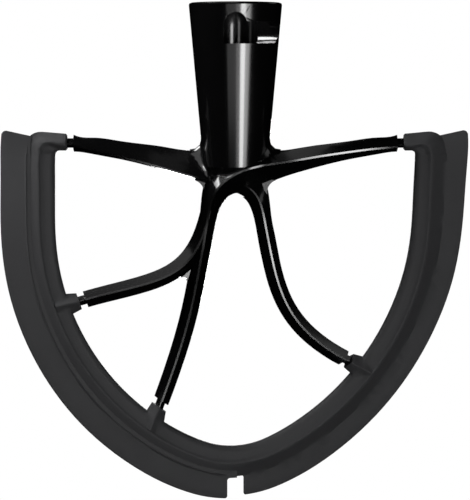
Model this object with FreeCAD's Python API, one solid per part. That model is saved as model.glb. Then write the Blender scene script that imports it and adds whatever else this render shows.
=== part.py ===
import FreeCAD, Part
import math
import os

# Stand mixer flat beater: a stiff moulded paddle with a flexible wiping rim moulded over its hoop.
# Lengths are in millimetres and angles in degrees. The origin is the bore's centre at the hub's mouth,
# +Z runs up out of the mouth, +X is the paddle's right and +Y its back. Heights below the mouth are negative.
# The paddle is drawn flat, as a radius, a height and an offset from its middle sheet, and then twisted about Z.

# Twist of the sheet, from none at the upper arms to its full angle at the bottom
twist_full = 12.9
twist_start_z = -44.5
twist_end_z = -159.5

# Hub, with a blind bore for the shaft
hub_mouth_radius = 14.85
hub_neck_radius = 11.05
hub_neck_z = -43.0
hub_base_z = -57.5
hub_dome = 6.0
hub_edge_round = 0.8
bore_radius = 7.2
bore_depth = 38.0

# Bayonet slot for the shaft's cross pin: in by a keyway inside the mouth, round to the front, up into a pocket
pin_slot_height = 6.9
pin_slot_floor_z = -12.9
pin_slot_sweep = 58.0
pin_pocket_width = 7.2
pin_pocket_top_z = -3.1
keyway_reach = 11.2

# Rim outline at the bead's inner edge: a straight side, a large arc and a bottom arc, tangent to one another
rim_half_width = 57.7
rim_straight_end_z = -70.3
rim_side_radius = 77.4
rim_bottom_radius = 28.0

# Bead section, measured outward from its inner edge: a flat with a rounded edge, then a ridge on each face
bead_flat_half = 2.3
bead_inner_round = 1.7
ridge_half = 3.6
ridge_round = 0.5
front_flat_out = 4.1
front_ridge_out = 4.9
back_flat_out = 3.6
back_ridge_out = 4.8
back_slope_out = 10.4

# Elbows, where the bead turns in at its top and becomes the boss of an upper arm
elbow_round = 1.45
elbow_corner = 3.9
elbow_bottom_z = -46.75
elbow_top_z = -41.1
elbow_top_tilt = 5.0
elbow_valley_turn = 45.0
arm_boss_reach = 3.85
boss_edge_half = 0.8
boss_edge_round = 0.9
boss_end_round = 0.45

# Wiping fins: the left one stands towards the front, and the right one is its half-turn copy
fin_reach = 17.2
fin_root_out = 7.6
fin_root_thickness = 1.7
fin_lip_thickness = 1.3
fin_stand = 1.5
fin_lip_round = 0.5
fin_top_z = -43.8
fin_top_tilt = 12.5
fin_corner_round = 1.2
shoulder_out = 8.5
shoulder_sag = 0.35
rib_out = 9.0
rib_foot_out = 9.6
rib_stand = 0.4

# Notch between the fins at the bottom
notch_width = 5.3
notch_ceiling_out = 10.1
notch_top_round = 0.9
notch_lip_round = 1.3

# Hoop of the stiff moulding, inside the bead
hoop_out = 4.4
hoop_half_width = 2.0
hoop_half_thickness = 1.3
hoop_top_z = -44.2

# Dimples on the axis: the mould's gate under the crown, and a key in the hoop that the rim's elastomer fills
gate_dimple_radius = 1.6
gate_dimple_depth = 1.0
key_dimple_radius = 1.0
key_dimple_depth = 0.8

# Upper arms, measured in the flat. Shares give the place of each crest across the blade at tip, middle, root
arm_tip_top_z = -41.35
arm_tip_height = 5.9
arm_mid_height = 6.6
arm_root_radius = 13.0
arm_root_top_z = -46.65
arm_root_height = 9.6
arm_front_shares = (0.70, 0.53, 0.38)
arm_back_shares = (0.60, 0.86, 0.88)

# Depths of the blades' sharp crests in front of and behind the sheet
tip_depth = 3.9
arm_mid_front = 5.8
arm_mid_back = 4.8
arm_root_front = 9.6
arm_root_back = 5.6
crest_stand = 0.5
crown_back = 4.0
leg_top_front = 10.0
leg_top_back = 5.0
branch_start_front = 9.6
blade_edge_round = 0.9
blade_crest_round = 0.35

# Crown, where a blade sweeps down across the hub: its edges, from the arm's root and the arch, and its crests
arch_drop = 3.3
crown_uppers = ((4.0, 1.1), (-4.5, -1.0), (-9.2, -7.0))
crown_lowers = ((5.5, 1.3), (0.8, 0.0), (-1.8, -0.9))
crown_front_shares = (0.44, 0.52, 0.48)
crown_back_shares = (0.75, 0.72, 0.62)

# Legs: their tops under the hub, their width, and the turn of the rim where each one meets it
leg_top_radius = 8.0
leg_top_drop = 7.1
leg_top_width = 6.4
leg_top_lean = 13.0
leg_top_share = 0.36
leg_width = 5.9
leg_front_share = 0.40
leg_back_share = 0.50
leg_front_fall = 1.3
long_leg_meets = 53.4
long_leg_lean = 21.3
long_leg_handles = (26.0, 33.5)
right_leg_meets = 38.3
right_leg_lean = 60.8
right_leg_handles = (22.7, 28.4)
branch_meets = 18.8
branch_lean = 75.5
branch_start = 0.01
branch_handles = (24.3, 24.3)

# Necks of all the tips, and bosses where the legs pass into the rim
boss_reach = 3.2
neck_gap = 2.1
neck_scale = 0.56
boss_flare = 2.0
boss_depth = 4.3
boss_waist = 0.6
boss_waist_flare = 0.25

# Fillets of the moulding's outline, and the shares of leg and branch where the fork's edges are taken
hub_fillet = 2.8
hub_fillet_end = 0.3
arch_fillet = 4.0
fork_fillet = 1.2
fork_leg_share = 0.34
fork_branch_share = 0.44
web_half_thickness = 1.4

# Number of stations along each stretch of a loft, and of short flats in rounded edges, crests and fillets
side_stations = 3
arc_stations = 6
bottom_stations = 3
elbow_stations = 6
arm_stations = 5
leg_stations = 7
root_stations = 3
blade_step = 7.0
edge_flats = 2
crest_flats = 1
fillet_flats = 3
sharp = (0.0, 0)


def twist_at(z):
    """Twist of the sheet at a height, in radians, easing out towards the bottom."""
    share = (twist_start_z - z) / (twist_start_z - twist_end_z)
    share = min(max(share, 0.0), 1.0)
    return math.radians(twist_full) * (1.0 - (1.0 - share) ** 2)


def place(point, offset, sheet_z):
    """Point of the flat drawing, turned with the sheet at one height."""
    radius, z = point
    angle = twist_at(sheet_z)
    x = radius * math.cos(angle) - offset * math.sin(angle)
    y = radius * math.sin(angle) + offset * math.cos(angle)
    return FreeCAD.Vector(x, y, z)


def along(point, direction, distance):
    """Flat point moved along a flat direction."""
    return point[0] + direction[0] * distance, point[1] + direction[1] * distance


def between(start, end, share):
    """Flat point at a share of the way from one point to another."""
    return start[0] + (end[0] - start[0]) * share, start[1] + (end[1] - start[1]) * share


def downward(lean):
    """Flat direction that points down and leans out to the left by an angle."""
    angle = math.radians(lean)
    return -math.sin(angle), -math.cos(angle)


def left_of(direction):
    """Flat direction a quarter turn clockwise from another: the left side of a path that runs down."""
    return direction[1], -direction[0]


def rounded_wire(corners, rounds):
    """Closed wire through corner points, each rounded by a radius in a number of short flats, or sharp."""
    points = []
    count = len(corners)
    for i in range(count):
        corner = corners[i]
        radius, flats = rounds[i]
        if flats == 0:
            points.append(corner)
            continue
        before = (corners[i - 1] - corner).normalize()
        after = (corners[(i + 1) % count] - corner).normalize()
        half = before.getAngle(after) / 2
        centre = corner + (before + after).normalize() * (radius / math.sin(half))
        first = corner + before * (radius / math.tan(half)) - centre
        last = corner + after * (radius / math.tan(half)) - centre
        turn = math.degrees(first.getAngle(last)) / flats
        axis = first.cross(last)
        points += [centre + FreeCAD.Rotation(axis, turn * j).multVec(first) for j in range(flats + 1)]
    return Part.makePolygon(points + points[:1])


def half_turn(shape):
    """Copy turned half way round the paddle's axis."""
    copy = shape.copy()
    copy.rotate(FreeCAD.Vector(0, 0, 0), FreeCAD.Vector(0, 0, 1), 180)
    return copy


def joined(shapes):
    """One solid from overlapping ones."""
    return shapes[0].multiFuse(shapes[1:]).removeSplitter()


# Rim

def rim_change():
    """Turn at which the rim's side arc passes into its bottom arc."""
    ratio = (rim_side_radius - rim_half_width) / (rim_side_radius - rim_bottom_radius)
    return math.degrees(math.acos(ratio))


def rim_point(turn):
    """Left-hand point of the bead's inner edge where its outward normal has turned down by an angle."""
    angle = math.radians(turn)
    if turn <= rim_change():
        centre = (rim_side_radius - rim_half_width, rim_straight_end_z)
        return along(centre, (-math.cos(angle), -math.sin(angle)), rim_side_radius)
    drop = (rim_side_radius - rim_bottom_radius) * math.sin(math.radians(rim_change()))
    centre = (0.0, rim_straight_end_z - drop)
    return along(centre, (-math.cos(angle), -math.sin(angle)), rim_bottom_radius)


def left_rim_stations(first_z):
    """Points and turns down the left half of the rim, from a height near its top to the bottom."""
    stations = []
    for i in range(side_stations):
        z = first_z + (rim_straight_end_z - first_z) * i / side_stations
        stations.append(((-rim_half_width, z), 0.0))
    change = rim_change()
    turns = [change * i / arc_stations for i in range(arc_stations)]
    turns += [change + (90.0 - change) * i / bottom_stations for i in range(bottom_stations + 1)]
    return stations + [(rim_point(turn), turn) for turn in turns]


def rim_section(station, corners, rounds):
    """Section across the left half of the rim, with corners given as distance outward and offset."""
    point, turn = station
    angle = math.radians(turn)
    outward = (-math.cos(angle), -math.sin(angle))
    sheet_z = along(point, outward, hoop_out)[1]
    points = [place(along(point, outward, out), offset, sheet_z) for out, offset in corners]
    return rounded_wire(points, rounds)


def whole_rim_loft(first_z, front, back, rounds):
    """Loft round the rim of a section given by its front and back profiles, from the inner edge outward."""
    # The right half is the left one turned half round, so there the back profile faces the front.
    # At the bottom, the section is the mean of the two
    mean = [((f[0] + b[0]) / 2, (f[1] - b[1]) / 2) for f, b in zip(front, back)]
    opposite = [(out, -offset) for out, offset in mean]
    section_rounds = rounds + rounds[::-1]
    stations = left_rim_stations(first_z)
    wires = [rim_section(station, front + back[::-1], section_rounds) for station in stations[:-1]]
    wires.append(rim_section(stations[-1], mean + opposite[::-1], section_rounds))
    for station in stations[-2::-1]:
        wires.append(half_turn(rim_section(station, back + front[::-1], section_rounds)))
    return Part.makeLoft(wires, True, False)


def fin_face(out):
    """Offset of the left fin's front face at a distance outward."""
    share = (out - back_slope_out) / (fin_reach - back_slope_out)
    half_thickness = (fin_root_thickness + (fin_lip_thickness - fin_root_thickness) * share) / 2
    return -fin_stand - half_thickness


def bead_profiles():
    """Front and back profiles of the bead's left half: ridges, and a hollow shoulder and rib in front."""
    foot = fin_face(rib_foot_out)
    front = [
        (0.0, -bead_flat_half),
        (front_flat_out, -bead_flat_half),
        (front_ridge_out, -ridge_half),
        ((front_ridge_out + shoulder_out) / 2, (foot - ridge_half) / 2 + shoulder_sag),
        (shoulder_out, foot + shoulder_sag),
        (rib_out, foot - rib_stand),
        (rib_foot_out, foot),
    ]
    ridge = (back_ridge_out, ridge_half)
    slope_end = (back_slope_out, -2 * fin_stand - fin_face(back_slope_out))
    back = [(0.0, bead_flat_half), (back_flat_out, bead_flat_half), ridge]
    back += [between(ridge, slope_end, i / 4) for i in range(1, 5)]
    return front, back


def bead_rounds(inner_round):
    """Roundings of one profile's corners: its inner edge and its ridge."""
    return [(inner_round, edge_flats), sharp, (ridge_round, crest_flats), sharp, sharp, sharp, sharp]


def build_bead():
    """Bead of the rim, from one elbow down and round to the other."""
    front, back = bead_profiles()
    return whole_rim_loft(elbow_bottom_z - elbow_round, front, back, bead_rounds(bead_inner_round))


def elbow_reach(turn):
    """Distance from the elbow's inner centre to its outer side: up the bead, round a corner, along the top."""
    angle = math.radians(turn)
    tilt = math.radians(elbow_top_tilt)
    side = elbow_round + shoulder_out
    top = elbow_top_z - elbow_bottom_z + elbow_round - elbow_round * math.tan(tilt)
    middle_out = side - elbow_corner
    middle_up = top + middle_out * math.tan(tilt) - elbow_corner / math.cos(tilt)
    if angle <= math.atan2(middle_up, side):
        return side / math.cos(angle)
    corner_end = (middle_out - elbow_corner * math.sin(tilt), middle_up + elbow_corner * math.cos(tilt))
    if angle >= math.atan2(corner_end[1], corner_end[0]):
        return top / (math.sin(angle) - math.cos(angle) * math.tan(tilt))
    ahead = middle_out * math.cos(angle) + middle_up * math.sin(angle)
    return ahead + math.sqrt(ahead ** 2 - middle_out ** 2 - middle_up ** 2 + elbow_corner ** 2)


def boss_profiles():
    """Front and back profiles of the left arm's boss, as shares of its height from its foot, and offsets."""
    front_crest = (1.0 - arm_back_shares[0], tip_depth)
    back_crest = (1.0 - arm_front_shares[0], tip_depth)
    lower = (0.0, boss_edge_half)
    upper = (1.0, boss_edge_half)
    front = [lower, between(lower, front_crest, 0.5), front_crest]
    front += [between(front_crest, upper, i / 3) for i in range(1, 4)]
    front.append((1.0, boss_edge_half / 3))
    back = [lower, between(lower, back_crest, 0.5), back_crest]
    back += [between(back_crest, (1.0, boss_edge_half / 3), i / 4) for i in range(1, 5)]
    return [(share, -offset) for share, offset in front], back


def elbow_section(turn, inward=0.0, inset=0.0):
    """Section at a turn round the left elbow, from the bead's at 0 to the boss's at 90, or further inward."""
    angle = math.radians(turn)
    width = elbow_reach(turn) - elbow_round - inward * math.tan(math.radians(elbow_top_tilt))
    scale = 1.0 - 2 * inset / width
    fin_fade = max(1.0 - turn / elbow_valley_turn, 0.0)
    bead_front, bead_back = bead_profiles()
    boss_front, boss_back = boss_profiles()
    corners = []
    for rim_corner, boss_corner in zip(bead_front + bead_back[::-1], boss_front + boss_back[::-1]):
        rim_share = rim_corner[0] / shoulder_out
        rim_share = min(rim_share, 1.0) + max(rim_share - 1.0, 0.0) * fin_fade
        share, offset = between((rim_share, rim_corner[1]), boss_corner, turn / 90.0)
        corners.append(((0.5 + (share - 0.5) * scale) * width, offset * scale))
    rounds = bead_rounds(bead_inner_round + (boss_edge_round - bead_inner_round) * turn / 90.0)
    centre = (-rim_half_width + elbow_round + inward, elbow_bottom_z - elbow_round)
    point = along(centre, (-math.cos(angle), math.sin(angle)), elbow_round)
    return rim_section((point, -turn), corners, rounds + rounds[::-1])


def build_left_elbow():
    """Elbow of the left half, and the boss that it becomes, with a rounded end round the arm's neck."""
    turns = [90.0 * i / elbow_stations for i in range(elbow_stations + 1)]
    bend = Part.makeLoft([elbow_section(turn) for turn in turns], True, False)
    end = arm_boss_reach - elbow_round
    rows = ((0.0, 0.0), (end - boss_end_round, 0.0), (end, boss_end_round))
    boss = Part.makeLoft([elbow_section(90.0, inward, inset) for inward, inset in rows], True, True)
    return [bend, boss]


def build_left_fin():
    """Thin wiping fin of the left half, from its sloping top to the middle of the bottom."""
    corners = [
        (fin_root_out, fin_face(fin_root_out)),
        (fin_reach, fin_face(fin_reach)),
        (fin_reach, -2 * fin_stand - fin_face(fin_reach)),
        (fin_root_out, -2 * fin_stand - fin_face(fin_root_out)),
    ]
    stations = left_rim_stations(fin_top_z)
    stations[0] = (stations[0][0], -fin_top_tilt)
    lip = (fin_lip_round, crest_flats)
    rounds = [sharp, lip, lip, sharp]
    fin = Part.makeLoft([rim_section(station, corners, rounds) for station in stations], True, False)
    inward = downward(-90.0 + fin_top_tilt)
    corner = along(stations[0][0], inward, -fin_reach)
    thickness = fin_stand + fin_root_thickness
    return fin.cut(fillet_web(corner, inward, downward(0.0), fin_corner_round, thickness))


def build_notch():
    """Room between the fins, with rounded upper corners and a mouth that rounds the fins' corners."""
    depth = 2 * rim_half_width
    half = notch_width / 2
    bottom_z = rim_point(90.0)[1]
    ceiling_z = bottom_z - notch_ceiling_out
    mouth_z = bottom_z - fin_reach
    round_rest = 1.0 - math.sqrt(0.5)

    def at(x, z):
        return FreeCAD.Vector(x, -depth / 2, z)

    edges = []
    for side in (-1, 1):
        top = at(side * (half - notch_top_round), ceiling_z)
        top_mid = at(side * (half - notch_top_round * round_rest), ceiling_z - notch_top_round * round_rest)
        wall_top = at(side * half, ceiling_z - notch_top_round)
        wall_end = at(side * half, mouth_z + notch_lip_round)
        lip_mid = at(side * (half + notch_lip_round * round_rest), mouth_z + notch_lip_round * round_rest)
        lip = at(side * (half + notch_lip_round), mouth_z)
        below = at(side * (half + notch_lip_round), mouth_z - fin_reach)
        half_edges = [
            Part.Arc(top, top_mid, wall_top).toShape(),
            Part.LineSegment(wall_top, wall_end).toShape(),
            Part.Arc(wall_end, lip_mid, lip).toShape(),
            Part.LineSegment(lip, below).toShape(),
        ]
        edges.append((top, half_edges, below))
    ceiling = Part.LineSegment(edges[0][0], edges[1][0]).toShape()
    floor = Part.LineSegment(edges[1][2], edges[0][2]).toShape()
    outline = Part.Wire(Part.__sortEdges__([ceiling, floor] + edges[0][1] + edges[1][1]))
    return Part.Face(outline).extrude(FreeCAD.Vector(0, depth, 0))


def build_dimple(mouth_z, radius, depth):
    """Conical hollow on the axis, run on past its mouth to twice its depth. A negative depth points it down."""
    point = FreeCAD.Vector(0, 0, mouth_z + depth)
    way = FreeCAD.Vector(0, 0, math.copysign(1.0, -depth))
    return Part.makeCone(0.0, 2 * radius, 2 * abs(depth), point, way)


def build_hoop():
    """Stiff hoop inside the bead, with a dimple at its lowest point."""
    inner = hoop_out - hoop_half_width
    outer = hoop_out + hoop_half_width
    front = [(inner, -hoop_half_thickness), (outer, -hoop_half_thickness)]
    back = [(inner, hoop_half_thickness), (outer, hoop_half_thickness)]
    hoop = whole_rim_loft(hoop_top_z, front, back, [sharp, sharp])
    return hoop.cut(build_dimple(rim_point(90.0)[1] - inner, key_dimple_radius, -key_dimple_depth))


# Arms and legs

def kite(upper, lower, front, back, scale=1.0):
    """Kite section between a blade's two edges. Each crest is its share of the way across and its depth."""
    middle = between(upper, lower, 0.5)
    upper = between(middle, upper, scale)
    lower = between(middle, lower, scale)
    corners = [
        place(upper, 0.0, middle[1]),
        place(between(upper, lower, front[0]), -front[1] * scale, middle[1]),
        place(lower, 0.0, middle[1]),
        place(between(upper, lower, back[0]), back[1] * scale, middle[1]),
    ]
    edge = (blade_edge_round * scale, edge_flats)
    crest = (blade_crest_round * scale, crest_flats)
    return rounded_wire(corners, [edge, crest] * 2)


def hub_radius(z):
    """Outer radius of the tapered hub at a height."""
    return hub_mouth_radius + (hub_neck_radius - hub_mouth_radius) * z / hub_neck_z


def arm_tip():
    """Edges and crests of the right arm's tip."""
    radius = rim_half_width - arm_boss_reach - neck_gap
    upper = (radius, arm_tip_top_z)
    lower = (radius, arm_tip_top_z - arm_tip_height)
    return upper, lower, (arm_front_shares[0], tip_depth), (arm_back_shares[0], tip_depth)


def swelling(start, middle, end, share):
    """Value at a share of the way along a parabola through three values."""
    rest = 1.0 - share
    return start * rest * (1 - 2 * share) + 4 * middle * share * rest + end * share * (2 * share - 1)


def arm_station(share):
    """Edges and crests of the right arm at a share of the way from its tip to its root."""
    upper = between(arm_tip()[0], (arm_root_radius, arm_root_top_z), share)
    lower = along(upper, (0, -1), swelling(arm_tip_height, arm_mid_height, arm_root_height, share))
    front = (swelling(*arm_front_shares, share), swelling(tip_depth, arm_mid_front, arm_root_front, share))
    back = (swelling(*arm_back_shares, share), swelling(tip_depth, arm_mid_back, arm_root_back, share))
    return upper, lower, front, back


def upper_blade():
    """Stations of the right arm and of its sweep across the hub's front, down to the top of the left leg."""
    stations = [arm_station(i / arm_stations) for i in range(arm_stations + 1)]
    crown_front = hub_radius(arm_root_top_z) + crest_stand
    arch_z = hub_base_z - arch_drop
    for upper, lower, front, back in zip(crown_uppers, crown_lowers, crown_front_shares, crown_back_shares):
        upper_edge = (upper[0], arm_root_top_z + upper[1])
        lower_edge = (lower[0], arch_z + lower[1])
        stations.append((upper_edge, lower_edge, (front, crown_front), (back, crown_back)))
    leg_top = (-leg_top_radius, hub_base_z - leg_top_drop)
    side = left_of(downward(leg_top_lean))
    edges = (along(leg_top, side, leg_top_width / 2), along(leg_top, side, -leg_top_width / 2))
    stations.append(edges + ((leg_top_share, leg_top_front), (leg_back_share, leg_top_back)))
    return stations


def curve_point(controls, share):
    """Point and direction of a cubic curve through four control points."""
    rest = 1.0 - share
    weights = (rest ** 3, 3 * rest ** 2 * share, 3 * rest * share ** 2, share ** 3)
    slopes = (-rest ** 2, rest ** 2 - 2 * rest * share, 2 * rest * share - share ** 2, share ** 2)
    point = tuple(sum(w * c[i] for w, c in zip(weights, controls)) for i in range(2))
    slope = tuple(sum(s * c[i] for s, c in zip(slopes, controls)) for i in range(2))
    length = math.hypot(slope[0], slope[1])
    return point, (slope[0] / length, slope[1] / length)


def leg_tip(meets, lean):
    """Centre and axis of a leg's tip, and the distance along its axis for each millimetre towards the rim."""
    normal = downward(90.0 - meets)
    axis = downward(lean)
    stretch = 1.0 / (axis[0] * normal[0] + axis[1] * normal[1])
    centre = along(rim_point(meets), axis, -(boss_reach + neck_gap) * stretch)
    return centre, axis, stretch


def leg_controls(start, direction, meets, lean, handles):
    """Control points of a leg's middle line, from its start to its tip."""
    centre, axis, stretch = leg_tip(meets, lean)
    return start, along(start, direction, handles[0]), along(centre, axis, -handles[1]), centre


def long_leg_controls():
    start = (-leg_top_radius, hub_base_z - leg_top_drop)
    return leg_controls(start, downward(leg_top_lean), long_leg_meets, long_leg_lean, long_leg_handles)


def right_leg_controls():
    start = (-leg_top_radius, hub_base_z - leg_top_drop)
    return leg_controls(start, downward(leg_top_lean), right_leg_meets, right_leg_lean, right_leg_handles)


def branch_controls():
    start, direction = curve_point(long_leg_controls(), branch_start)
    return leg_controls(start, direction, branch_meets, branch_lean, branch_handles)


def leg_station(controls, share, meets, front_start, back_start):
    """Edges and crests of a leg at a share of its length. Its tip is cut along the rim."""
    point, direction = curve_point(controls, share)
    side = left_of(direction)
    half = leg_width / 2
    if share == 1.0:
        cut = left_of(downward(90.0 - meets))
        half = half / (cut[0] * side[0] + cut[1] * side[1])
        side = cut
    front = tip_depth + (front_start - tip_depth) * (1.0 - share) ** leg_front_fall
    back = tip_depth + (back_start - tip_depth) * (1.0 - share)
    return along(point, side, half), along(point, side, -half), (leg_front_share, front), (leg_back_share, back)


def leg_run(controls, meets, front_start, back_start, first):
    """Stations down a leg, from the first of its even steps to its tip."""
    steps = range(first, leg_stations + 1)
    return [leg_station(controls, i / leg_stations, meets, front_start, back_start) for i in steps]


def smooth_track(rows, spans):
    """Curve through rows of three numbers, at shared places along it."""
    track = Part.BSplineCurve()
    track.interpolate(Points=[FreeCAD.Vector(*row) for row in rows], Parameters=spans)
    return track


def loft_blade(stations):
    """Solid blade through stations, with even sections interpolated between them."""
    middles = [between(upper, lower, 0.5) for upper, lower, front, back in stations]
    spans = [0.0]
    for start, end in zip(middles, middles[1:]):
        spans.append(spans[-1] + math.hypot(end[0] - start[0], end[1] - start[1]))
    uppers = smooth_track([(upper[0], upper[1], front[0]) for upper, lower, front, back in stations], spans)
    lowers = smooth_track([(lower[0], lower[1], front[1]) for upper, lower, front, back in stations], spans)
    crests = smooth_track([(back[0], back[1], 0.0) for upper, lower, front, back in stations], spans)
    count = round(spans[-1] / blade_step)
    wires = []
    for i in range(count + 1):
        place_along = spans[-1] * i / count
        upper = uppers.value(place_along)
        lower = lowers.value(place_along)
        crest = crests.value(place_along)
        wires.append(kite((upper.x, upper.y), (lower.x, lower.y), (upper.z, lower.z), (crest.x, crest.y)))
    return Part.makeLoft(wires, True, False)


def build_front_blade():
    """Right arm, crown across the hub's front and long left leg, as one flowing blade."""
    leg = leg_run(long_leg_controls(), long_leg_meets, leg_top_front, leg_top_back, 1)
    return loft_blade(upper_blade() + leg)


def build_back_blade():
    """Left arm, crown across the hub's back and right leg, drawn as the front blade and turned half round."""
    leg = leg_run(right_leg_controls(), right_leg_meets, leg_top_front, leg_top_back, 1)
    return half_turn(loft_blade(upper_blade() + leg))


def build_branch():
    """Left branch, which leaves the long leg below the hub."""
    return loft_blade(leg_run(branch_controls(), branch_meets, branch_start_front, leg_top_back, 0))


# Necks of the five tips, and bosses of the three legs

def arm_tips():
    """Tips of the two upper arms: section, axis, stretch along the axis, reach of the boss, and half turn."""
    return [(arm_tip(), (1.0, 0.0), 1.0, arm_boss_reach, turned) for turned in (False, True)]


def leg_tips():
    """Tips of the three legs, as the arms' are given."""
    legs = (
        (long_leg_controls(), long_leg_meets, long_leg_lean, False),
        (branch_controls(), branch_meets, branch_lean, False),
        (right_leg_controls(), right_leg_meets, right_leg_lean, True),
    )
    tips = []
    for controls, meets, lean, turned in legs:
        section = leg_station(controls, 1.0, meets, tip_depth, tip_depth)
        centre, axis, stretch = leg_tip(meets, lean)
        tips.append((section, axis, stretch, boss_reach, turned))
    return tips


def moved(section, axis, distance):
    """Section moved along a flat direction."""
    upper, lower, front, back = section
    return along(upper, axis, distance), along(lower, axis, distance), front, back


def build_neck(tip):
    """Neck that steps down from a tip and runs through the boss to the middle of the hoop."""
    section, axis, stretch, reach, turned = tip
    start = moved(section, axis, -neck_gap)
    end = moved(section, axis, (neck_gap + reach + hoop_out) * stretch)
    neck = Part.makeLoft([kite(*start, neck_scale), kite(*end, neck_scale)], True, True)
    return half_turn(neck) if turned else neck


def build_boss(tip):
    """Boss of the rim that takes a leg's neck, flaring into the bead."""
    section, axis, stretch, reach, turned = tip
    wires = []
    rows = (
        (neck_gap, 0.0),
        (neck_gap + reach * boss_waist, boss_waist_flare),
        (neck_gap + reach + hoop_out, 1.0),
    )
    for distance, spread in rows:
        upper, lower, front, back = moved(section, axis, distance * stretch)
        width = math.hypot(upper[0] - lower[0], upper[1] - lower[1])
        wide_upper = between(lower, upper, 1.0 + boss_flare * spread / width)
        wide_lower = between(upper, lower, 1.0 + boss_flare * spread / width)
        depth = tip_depth + (boss_depth - tip_depth) * spread
        wires.append(kite(wide_upper, wide_lower, (front[0], depth), (back[0], depth)))
    boss = Part.makeLoft(wires, True, False)
    return half_turn(boss) if turned else boss


# Hub

def build_hub():
    """Tapered hub with a domed base, still solid."""
    diagonal = math.sqrt(0.5)
    base_radius = hub_radius(hub_base_z + hub_dome)
    edge_step = hub_edge_round * (1.0 - diagonal)
    top = FreeCAD.Vector(0, 0, 0)
    edge_top = FreeCAD.Vector(hub_mouth_radius - hub_edge_round, 0, 0)
    edge_mid = FreeCAD.Vector(hub_mouth_radius - edge_step, 0, -edge_step)
    edge_side = FreeCAD.Vector(hub_radius(-hub_edge_round), 0, -hub_edge_round)
    dome_side = FreeCAD.Vector(base_radius, 0, hub_base_z + hub_dome)
    dome_mid = FreeCAD.Vector(base_radius * diagonal, 0, hub_base_z + hub_dome * (1.0 - diagonal))
    base = FreeCAD.Vector(0, 0, hub_base_z)
    outline = Part.Wire([
        Part.LineSegment(top, edge_top).toShape(),
        Part.LineSegment(edge_top, edge_mid).toShape(),
        Part.LineSegment(edge_mid, edge_side).toShape(),
        Part.LineSegment(edge_side, dome_side).toShape(),
        Part.LineSegment(dome_side, dome_mid).toShape(),
        Part.LineSegment(dome_mid, base).toShape(),
        Part.LineSegment(base, top).toShape(),
    ])
    return Part.Face(outline).revolve(top, FreeCAD.Vector(0, 0, 1), 360)


def build_bore():
    """Room for the shaft."""
    return Part.makeCylinder(bore_radius, bore_depth, FreeCAD.Vector(0, 0, 0), FreeCAD.Vector(0, 0, -1))


def build_pin_slot():
    """Room for the cross pin: pocket at the front, passage round to the right and keyway up to the mouth."""
    reach = 2 * hub_mouth_radius
    pocket_radius = pin_pocket_width / 2
    pocket_z = pin_pocket_top_z - pocket_radius
    front = FreeCAD.Vector(0, -1, 0)
    pocket = Part.makeBox(pin_pocket_width, reach, pocket_z - pin_slot_floor_z,
                          FreeCAD.Vector(-pocket_radius, -reach, pin_slot_floor_z))
    pocket_top = Part.makeCylinder(pocket_radius, reach, FreeCAD.Vector(0, 0, pocket_z), front)
    half_height = pin_slot_height / 2
    slot_z = pin_slot_floor_z + half_height
    passage = Part.makeCylinder(reach, pin_slot_height, FreeCAD.Vector(0, 0, pin_slot_floor_z),
                                FreeCAD.Vector(0, 0, 1), pin_slot_sweep)
    passage.rotate(FreeCAD.Vector(0, 0, 0), FreeCAD.Vector(0, 0, 1), -90)
    end_angle = math.radians(pin_slot_sweep - 90)
    end_way = FreeCAD.Vector(math.cos(end_angle), math.sin(end_angle), 0)
    passage_end = Part.makeCylinder(half_height, reach, FreeCAD.Vector(0, 0, slot_z), end_way)
    keyway = Part.makeBox(keyway_reach, pin_slot_height, -slot_z, FreeCAD.Vector(0, -half_height, slot_z))
    keyway.rotate(FreeCAD.Vector(0, 0, 0), FreeCAD.Vector(0, 0, 1), pin_slot_sweep - 90)
    return pocket.multiFuse([pocket_top, passage, passage_end, keyway])


# Fillets of the outline

def fillet_web(corner, first, second, radius, half_thickness):
    """Web with a hollow arc, for filleting or rounding off a corner between two flat directions."""
    first_3d = FreeCAD.Vector(first[0], first[1], 0)
    second_3d = FreeCAD.Vector(second[0], second[1], 0)
    half = first_3d.getAngle(second_3d) / 2
    inward = (first_3d + second_3d).normalize()
    back = radius / math.tan(half)
    ends = (along(corner, first, back), along(corner, second, back))
    hollow = along(corner, (inward.x, inward.y), radius / math.sin(half) - radius)
    root = along(corner, (inward.x, inward.y), -radius)

    def face_at(offset):
        start, middle, end, tail = [place(p, offset, corner[1]) for p in (ends[0], hollow, ends[1], root)]
        edges = [
            Part.Arc(start, middle, end).toShape(),
            Part.LineSegment(end, tail).toShape(),
            Part.LineSegment(tail, start).toShape(),
        ]
        return Part.Face(Part.Wire(edges))

    across = place((0.0, corner[1]), 2 * half_thickness, corner[1]) - FreeCAD.Vector(0, 0, corner[1])
    return face_at(-half_thickness).extrude(across)


def towards(start, end):
    """Flat direction from one point to another."""
    length = math.hypot(end[0] - start[0], end[1] - start[1])
    return (end[0] - start[0]) / length, (end[1] - start[1]) / length


def crossing(start, direction, other_start, other_direction):
    """Flat point where two lines cross."""
    gap = (other_start[0] - start[0], other_start[1] - start[1])
    turn = direction[0] * other_direction[1] - direction[1] * other_direction[0]
    return along(start, direction, (gap[0] * other_direction[1] - gap[1] * other_direction[0]) / turn)


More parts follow.
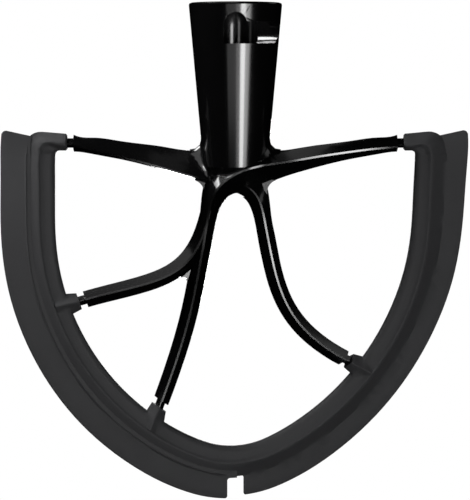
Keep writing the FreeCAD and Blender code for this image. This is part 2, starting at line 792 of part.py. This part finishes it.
def root_fillet_section(crest_share, crest_offset, share):
    """Hollow section that fillets hub and arm, at a share of the way from the arm's top edge to its crest."""
    tip, root = arm_station(0.0), arm_station(1.0)
    arm_way = towards(root[0], tip[0])
    drop = crest_share * arm_root_height * share
    hub_here = hub_radius(arm_root_top_z - drop)
    offset = crest_offset * share
    radius = math.sqrt(hub_here ** 2 - offset ** 2)
    corner = (radius, arm_root_top_z - drop + (radius - arm_root_radius) * arm_way[1] / arm_way[0])
    taper = math.atan2(hub_mouth_radius - hub_neck_radius, -hub_neck_z)
    hub_way = towards((0.0, 0.0), (math.sin(taper) * radius / hub_here, math.cos(taper)))
    size = hub_fillet * (1.0 - share ** 2) + hub_fillet_end
    half = (math.atan2(hub_way[1], hub_way[0]) - math.atan2(arm_way[1], arm_way[0])) / 2
    middle_way = towards((0.0, 0.0), (hub_way[0] + arm_way[0], hub_way[1] + arm_way[1]))
    root_point = place(along(corner, middle_way, -size), offset, corner[1])
    reach = 2 * size / math.tan(half)
    ends = [place(along(corner, way, reach), offset, corner[1]) for way in (hub_way, arm_way)]
    hollow = rounded_wire([root_point, ends[0], place(corner, offset, corner[1]), ends[1]],
                          [sharp, sharp, (size, fillet_flats), sharp])
    points = [vertex.Point for vertex in hollow.OrderedVertexes]
    return Part.makePolygon([points[0]] + points[2:-1] + [points[0]])


def build_root_fillet():
    """Fillet between hub and right arm's root, from the back crest over the top edge to the front crest."""
    steps = [i / root_stations for i in range(1, root_stations + 1)]
    backs = [root_fillet_section(arm_back_shares[2], arm_root_back, share) for share in steps[::-1]]
    fronts = [root_fillet_section(arm_front_shares[2], -arm_root_front, share) for share in steps]
    top = root_fillet_section(arm_front_shares[2], 0.0, 0.0)
    return Part.makeLoft(backs + [top] + fronts, True, False)


def build_webs():
    """Fillets above and below the arms' roots, and in the fork of the left leg."""
    webs = [build_root_fillet()]

    # The right leg's outer edge, drawn on the left as its blade is, seen from the other side
    root = arm_station(1.0)
    arm_bottom = towards(root[1], arm_station(1.0 - 1.0 / arm_stations)[1])
    leg_edge, leg_next = [leg_station(right_leg_controls(), i / leg_stations, right_leg_meets, leg_top_front,
                                      leg_top_back)[0] for i in (0, 1)]
    leg_edge, leg_next = (-leg_edge[0], leg_edge[1]), (-leg_next[0], leg_next[1])
    leg_way = towards(leg_edge, leg_next)
    lower_corner = crossing(root[1], arm_bottom, leg_edge, leg_way)
    webs.append(fillet_web(lower_corner, arm_bottom, leg_way, arch_fillet, web_half_thickness))
    webs += [half_turn(web) for web in webs]

    leg_point, leg_way = curve_point(long_leg_controls(), fork_leg_share)
    branch_point, branch_way = curve_point(branch_controls(), fork_branch_share)
    leg_edge = along(leg_point, left_of(leg_way), leg_width / 2)
    branch_edge = along(branch_point, left_of(branch_way), -leg_width / 2)
    corner = crossing(leg_edge, leg_way, branch_edge, branch_way)
    return webs + [fillet_web(corner, leg_way, branch_way, fork_fillet, web_half_thickness)]


def main():
    os.makedirs("parts", exist_ok=True)
    core = [build_hoop()] + [build_neck(tip) for tip in arm_tips() + leg_tips()]
    blades = [build_front_blade(), build_back_blade(), build_branch()]
    frame = joined([build_hub()] + blades + build_webs() + core)
    gate = build_dimple(hub_base_z - arch_drop, gate_dimple_radius, gate_dimple_depth)
    frame = frame.cut(build_bore().fuse(build_pin_slot())).cut(gate)

    left_pieces = [build_left_fin()] + build_left_elbow()
    bosses = [build_boss(tip) for tip in leg_tips()]
    rim = joined([build_bead()] + left_pieces + [half_turn(piece) for piece in left_pieces] + bosses)
    rim = rim.cut(build_notch()).cut(joined(core))

    for name, shape in (("beater_frame", frame), ("flex_edge_rim", rim)):
        print(name, shape.ShapeType, len(shape.Solids), shape.isValid(), round(shape.Volume, 1))
        shape.exportStep("parts/" + name + ".step")


main()
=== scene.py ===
import math

import bmesh
import bpy
import numpy as np
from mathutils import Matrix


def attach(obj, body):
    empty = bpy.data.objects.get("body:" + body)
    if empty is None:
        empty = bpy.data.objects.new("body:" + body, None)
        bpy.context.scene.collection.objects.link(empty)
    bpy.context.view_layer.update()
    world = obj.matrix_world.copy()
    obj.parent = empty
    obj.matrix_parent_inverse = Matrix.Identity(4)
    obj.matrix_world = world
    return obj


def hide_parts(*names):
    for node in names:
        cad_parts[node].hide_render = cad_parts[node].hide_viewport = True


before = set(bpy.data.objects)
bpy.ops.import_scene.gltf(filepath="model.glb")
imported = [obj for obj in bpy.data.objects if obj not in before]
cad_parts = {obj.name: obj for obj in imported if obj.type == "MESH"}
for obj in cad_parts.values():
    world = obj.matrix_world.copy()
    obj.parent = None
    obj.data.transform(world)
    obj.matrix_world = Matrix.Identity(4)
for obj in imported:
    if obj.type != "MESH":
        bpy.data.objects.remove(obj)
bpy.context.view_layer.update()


# Beater frame. The hub, arms and legs are one moulding in gloss black nylon, straight out of a polished
# mould. The shaft goes up the hub's bore and its cross pin turns into the bayonet slot's pocket.

class Value:
    """A node's output in one material. Sums and products of values add Math nodes."""

    def __init__(self, tree, socket=None):
        self.tree = tree
        self.socket = socket

    def node(self, kind, settings=None, inputs=None, output=0):
        """Adds a node of a type, with its settings set first and its sockets given values or links."""
        made = self.tree.nodes.new(kind)
        for name, setting in (settings or {}).items():
            setattr(made, name, setting)
        for name, given in (inputs or {}).items():
            if isinstance(given, Value):
                self.tree.links.new(given.socket, made.inputs[name])
            else:
                made.inputs[name].default_value = given
        return Value(self.tree, made.outputs[output])

    def math(self, operation, first, second):
        return self.node("ShaderNodeMath", {"operation": operation}, {0: first, 1: second})

    def __add__(self, other):
        return self.math("ADD", self, other)

    def __radd__(self, other):
        return self.math("ADD", other, self)

    def __mul__(self, other):
        return self.math("MULTIPLY", self, other)

    def __rmul__(self, other):
        return self.math("MULTIPLY", other, self)

    def noise(self, size, detail=2.0):
        """Noise from 0 to 1 over the piece, with features of about the given size in metres."""
        where = self.node("ShaderNodeTexCoord", output="Object")
        inputs = {"Vector": where, "Scale": 1.0 / size, "Detail": detail}
        return self.node("ShaderNodeTexNoise", {}, inputs, "Fac")

    def tint(self, factor, low, high):
        """Colour between two, by a factor. A Mix node's colours are its inputs 6 and 7 and its output 2."""
        return self.node("ShaderNodeMix", {"data_type": "RGBA"}, {0: factor, 6: low, 7: high}, 2)

    def bump(self, strength, distance, height):
        """Normal of a surface with a fine relief, of a depth in metres."""
        inputs = {"Strength": strength, "Distance": distance, "Height": height}
        return self.node("ShaderNodeBump", {}, inputs)

    def feed(self, shader, socket):
        """Links this value to a shader's socket."""
        self.tree.links.new(self.socket, shader.inputs[socket])


def new_finish(name, constants):
    """A material with one Principled shader, whose constant sockets are set by name."""
    material = bpy.data.materials.new(name)
    material.use_nodes = True
    shader = material.node_tree.nodes["Principled BSDF"]
    for socket, constant in constants.items():
        shader.inputs[socket].default_value = constant
    return material, shader, Value(material.node_tree)


def smooth_moulding(name, node, crease, material):
    """Copy of a CAD node with its triangles joined and shaded smooth, apart from edges over a crease angle.
    Each corner's normal is the mean of the faces around it by their area, so the broad faces stay true and
    the narrow rounded edges between them take the whole turn."""
    weld_distance = 0.000004
    mesh = bpy.data.meshes.new(name)
    welded = bmesh.new()
    welded.from_mesh(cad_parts[node].data)
    bmesh.ops.remove_doubles(welded, verts=welded.verts, dist=weld_distance)
    welded.to_mesh(mesh)
    welded.free()
    if "custom_normal" in mesh.attributes:
        mesh.attributes.remove(mesh.attributes["custom_normal"])
    mesh.shade_smooth()
    mesh.set_sharp_from_angle(angle=math.radians(crease))
    mesh.materials.clear()
    mesh.materials.append(material)
    piece = bpy.data.objects.new(name, mesh)
    bpy.context.scene.collection.objects.link(piece)
    weighted = piece.modifiers.new("broad_faces_first", "WEIGHTED_NORMAL")
    weighted.keep_sharp = True
    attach(piece, "root")
    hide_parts(node)
    return piece


def vectors(items, name):
    """A property of all of a mesh's points, corners or faces, with a row for each."""
    flat = np.empty(len(items) * 3, np.float32)
    items.foreach_get(name, flat)
    return flat.reshape(-1, 3)


def true_hub(piece, reach, foot, straight_out):
    """Gives the hub's outer faces the normals of the cone that they are facets of, and keeps all others. They
    are the triangles within a reach of the axis and above a foot whose normal's share along the line straight
    out from the axis is over a limit. A corner's normal leans as its face does, and points away from the axis
    at the corner's own place."""
    mesh = piece.data
    dressed = piece.evaluated_get(bpy.context.evaluated_depsgraph_get())
    normals = vectors(dressed.to_mesh().corner_normals, "vector").reshape(-1, 3, 3)
    dressed.to_mesh_clear()
    corner_points = np.empty(len(mesh.loops), np.int32)
    mesh.loops.foreach_get("vertex_index", corner_points)
    corners = vectors(mesh.vertices, "co")[corner_points].reshape(-1, 3, 3)
    facing = vectors(mesh.polygons, "normal")
    centres = corners.mean(axis=1)
    away = np.hypot(centres[:, 0], centres[:, 1])
    outward = (facing[:, :2] * centres[:, :2]).sum(axis=1) > straight_out * away
    on_hub = (away < reach) & (centres[:, 2] > foot) & outward
    lean = facing[on_hub, 2:]
    spokes = corners[on_hub, :, :2]
    spokes = spokes / np.linalg.norm(spokes, axis=2, keepdims=True)
    normals[on_hub, :, :2] = spokes * np.sqrt(1.0 - lean ** 2)[:, None]
    normals[on_hub, :, 2] = lean
    piece.modifiers.clear()
    mesh.normals_split_custom_set(normals.reshape(-1, 3).tolist())


deep_black = (0.0020, 0.0020, 0.0022, 1)
thin_black = (0.0034, 0.0034, 0.0036, 1)
frame_roughness = 0.16
frame_roughness_spread = 0.08
frame_crease = 28.0
hub_reach = 0.0155
hub_foot = -0.052
hub_straight_out = 0.97
gloss_constants = {"IOR": 1.5, "Coat Weight": 1.0, "Coat Roughness": 0.12}
gloss_black, shader, new = new_finish("gloss_black_nylon", gloss_constants)
flow = new.noise(size=0.018)
orange_peel = new.noise(size=0.004, detail=1.0)
new.tint(flow, deep_black, thin_black).feed(shader, "Base Color")
(frame_roughness + frame_roughness_spread * flow).feed(shader, "Roughness")
new.bump(strength=0.05, distance=0.00002, height=orange_peel).feed(shader, "Normal")
moulded_frame = smooth_moulding("moulded_frame", "beater_frame", frame_crease, gloss_black)
true_hub(moulded_frame, hub_reach, hub_foot, hub_straight_out)


# Flexible rim. A matt dark grey elastomer is moulded over the frame's hoop: a ridged bead with a boss round
# each arm's neck, and two thin fins that wipe the bowl.

dark_grey = (0.040, 0.040, 0.042, 1)
dusty_grey = (0.048, 0.048, 0.051, 1)
rim_roughness = 0.62
rim_roughness_spread = 0.12
rim_crease = 62.0
matt_grey, shader, new = new_finish("matt_grey_elastomer", {"IOR": 1.5})
cloud = new.noise(size=0.012)
grain = new.noise(size=0.0005, detail=4.0)
new.tint(cloud, dark_grey, dusty_grey).feed(shader, "Base Color")
(rim_roughness + rim_roughness_spread * grain).feed(shader, "Roughness")
new.bump(strength=0.25, distance=0.00006, height=grain).feed(shader, "Normal")
wiping_rim = smooth_moulding("wiping_rim", "flex_edge_rim", rim_crease, matt_grey)


# Lamps. Three strip boxes right of the camera, one in front of the other, make the soft-edged streak down the
# hub. A key box stands far round to the left, dim panels show the faces that look their way, and one more
# strip lights the hub from behind.

beater_middle = (0.0, 0.0, -0.06)
hub_place = (0.0, 0.0, -0.025)


def lamp(name, azimuth, elevation, distance, size, radiance, aim=beater_middle):
    """Rectangular soft box at a distance from the place that it is aimed at, in metres and degrees. Azimuth 0
    is at the camera's side and grows to its right."""
    light = bpy.data.lights.new(name, "AREA")
    light.shape = "RECTANGLE"
    light.size, light.size_y = size
    light.energy = radiance * math.pi * size[0] * size[1]
    piece = bpy.data.objects.new(name, light)
    turn, rise = math.radians(azimuth), math.radians(elevation)
    piece.location = (
        aim[0] + distance * math.sin(turn) * math.cos(rise),
        aim[1] - distance * math.cos(turn) * math.cos(rise),
        aim[2] + distance * math.sin(rise),
    )
    piece.rotation_euler = (math.pi / 2 - rise, 0.0, turn)
    piece.visible_camera = False
    bpy.context.scene.collection.objects.link(piece)


lamp("strip_core", 20.0, -7.0, 0.80, (0.17, 0.34), 7.0, hub_place)
lamp("strip_glow", 25.0, -10.5, 0.82, (0.36, 0.18), 2.6, hub_place)
lamp("strip_edge", 22.0, -10.5, 0.84, (0.58, 0.18), 1.4, hub_place)
lamp("key_box", -87.0, 48.0, 0.40, (0.23, 0.2), 11.5)
lamp("low_card", -26.0, -46.0, 0.8, (0.4, 0.12), 1.6)
lamp("left_panel", -28.0, 40.0, 0.9, (0.95, 0.36), 0.7)
lamp("front_panel", -9.0, -8.5, 0.9, (0.42, 0.15), 0.55, hub_place)
lamp("top_panel", 20.0, 69.0, 0.9, (0.5, 0.06), 0.13)
lamp("back_left_panel", -148.0, 42.0, 0.9, (0.7, 0.8), 0.16)
lamp("back_right_panel", 108.0, 25.0, 0.9, (0.4, 0.4), 0.3)
lamp("back_strip", 180.0, -10.0, 0.8, (0.18, 0.26), 14.0)


# Black tent. Black cloth hangs all round the beater and the lamps, as gloss black goods are shot, so that the
# gloss mirrors the lamps and no room. The camera looks through it.

def sheet(name, corners, faces, material):
    """Flat faces on given corners."""
    mesh = bpy.data.meshes.new(name)
    mesh.from_pydata(corners, [], faces)
    mesh.materials.append(material)
    piece = bpy.data.objects.new(name, mesh)
    bpy.context.scene.collection.objects.link(piece)
    return piece


tent_reach, tent_low, tent_high = 1.4, -1.1, 1.5
square = [(x * tent_reach, y * tent_reach) for x, y in ((-1, -1), (1, -1), (1, 1), (-1, 1))]
tent_corners = [(x, y, z) for z in (tent_low, tent_high) for x, y in square]
tent_faces = [(0, 1, 2, 3), (4, 5, 6, 7), (0, 1, 5, 4), (1, 2, 6, 5), (2, 3, 7, 6), (3, 0, 4, 7)]
cloth_constants = {"Base Color": (0.0, 0.0, 0.0, 1), "Roughness": 1.0, "Specular IOR Level": 0.0}
black_cloth = new_finish("black_cloth", cloth_constants)[0]
tent = sheet("black_tent", tent_corners, tent_faces, black_cloth)
tent.visible_camera = False


# Floor and ground. A pale painted floor lies under the tent, and a white ground is all round it. To the
# camera, and in gloss or clear pieces, both are pure white.

def in_sight(new):
    """1 for rays from the camera and from gloss or clear pieces, and 0 for those that light a matt one."""
    names = ("Is Camera Ray", "Is Glossy Ray", "Is Transmission Ray")
    straight, mirrored, clear = [new.node("ShaderNodeLightPath", output=name) for name in names]
    return straight + mirrored + clear


floor_gap = 0.05
floor_spread = 4
floor_level = tent_low - floor_gap
floor_corners = [(x * floor_spread, y * floor_spread, floor_level) for x, y in square]
paint_constants = {"Base Color": (0.9, 0.9, 0.9, 1), "Roughness": 0.8}
pale_paint, shader, new = new_finish("pale_floor_paint", paint_constants)
painted = Value(pale_paint.node_tree, shader.outputs[0])
white = new.node("ShaderNodeEmission", {}, {"Color": (1, 1, 1, 1), "Strength": 1.0})
mixed = new.node("ShaderNodeMixShader", {}, {0: in_sight(new), 1: painted, 2: white})
mixed.feed(pale_paint.node_tree.nodes["Material Output"], "Surface")
floor = sheet("pale_floor", floor_corners, [(0, 1, 2, 3)], pale_paint)

ground_light = 0.3
world = bpy.data.worlds.new("white_ground")
bpy.context.scene.world = world
world.use_nodes = True
background = world.node_tree.nodes["Background"]
background.inputs["Color"].default_value = (1, 1, 1, 1)
shown = in_sight(Value(world.node_tree))
(ground_light + (1.0 - ground_light) * shown).feed(background, "Strength")


# Camera. It stands at the photograph's place, half a metre in front of the hub and a little below its mouth,
# and is tilted down, so that the whole beater is in the picture.

camera_place = (-0.00013, -0.5, -0.0175)
camera_tilt = 7.0
lens = bpy.data.cameras.new("camera")
lens.sensor_fit = "VERTICAL"
lens.sensor_height = 36.0
lens.lens = 112.3
lens.clip_start = 0.01
camera = bpy.data.objects.new("camera", lens)
camera.location = camera_place
camera.rotation_euler = (math.radians(90.0 - camera_tilt), 0.0, 0.0)
bpy.context.scene.collection.objects.link(camera)
bpy.context.scene.camera = camera
bpy.context.scene.view_settings.view_transform = "Standard"
